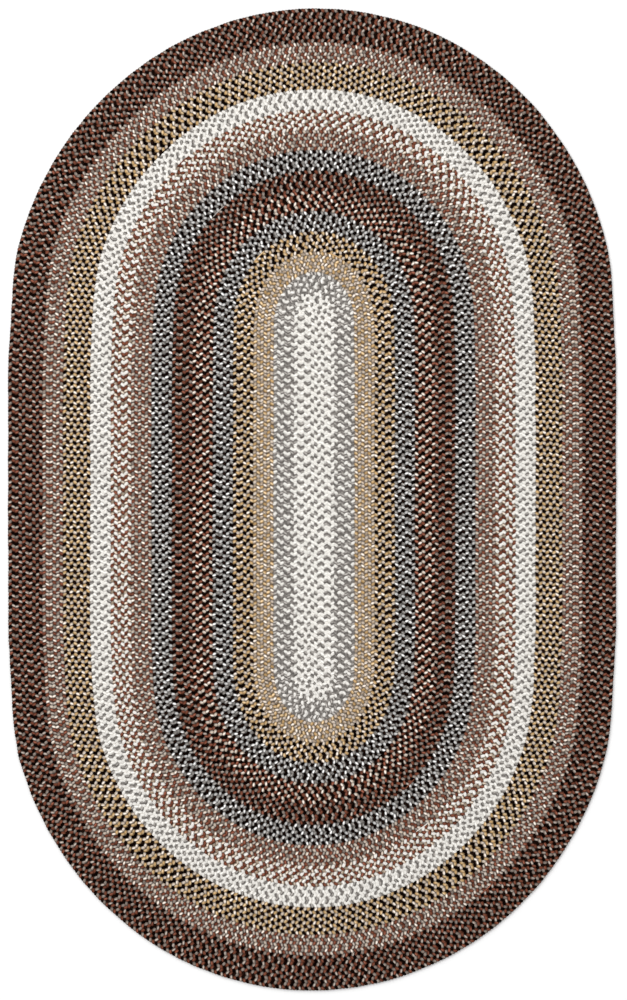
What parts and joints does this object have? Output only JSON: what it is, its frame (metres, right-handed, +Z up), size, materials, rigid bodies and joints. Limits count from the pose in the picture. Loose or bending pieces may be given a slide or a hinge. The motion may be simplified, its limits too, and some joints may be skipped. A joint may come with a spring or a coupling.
{
  "type": "braided oval rug",
  "caption": "Flat oval rug of multicoloured three-strand braid, laid in concentric rounds and laced edge to edge, with bands of cream, grey, tan, brown and black.",
  "frame": {"origin": "on the floor, under the middle of the rug's bounding box", "axes": "+Y along the rug's length, +X across it, +Z up, away from the floor"},
  "size_m": [1.5101, 2.44, 0.012],
  "materials": {
    "braid": "matt braided yarn in cream, grey, light marl, tan, brown and black"
  },
  "bodies": {
    "root": {"rug": "braid"}
  },
  "joints": []
}
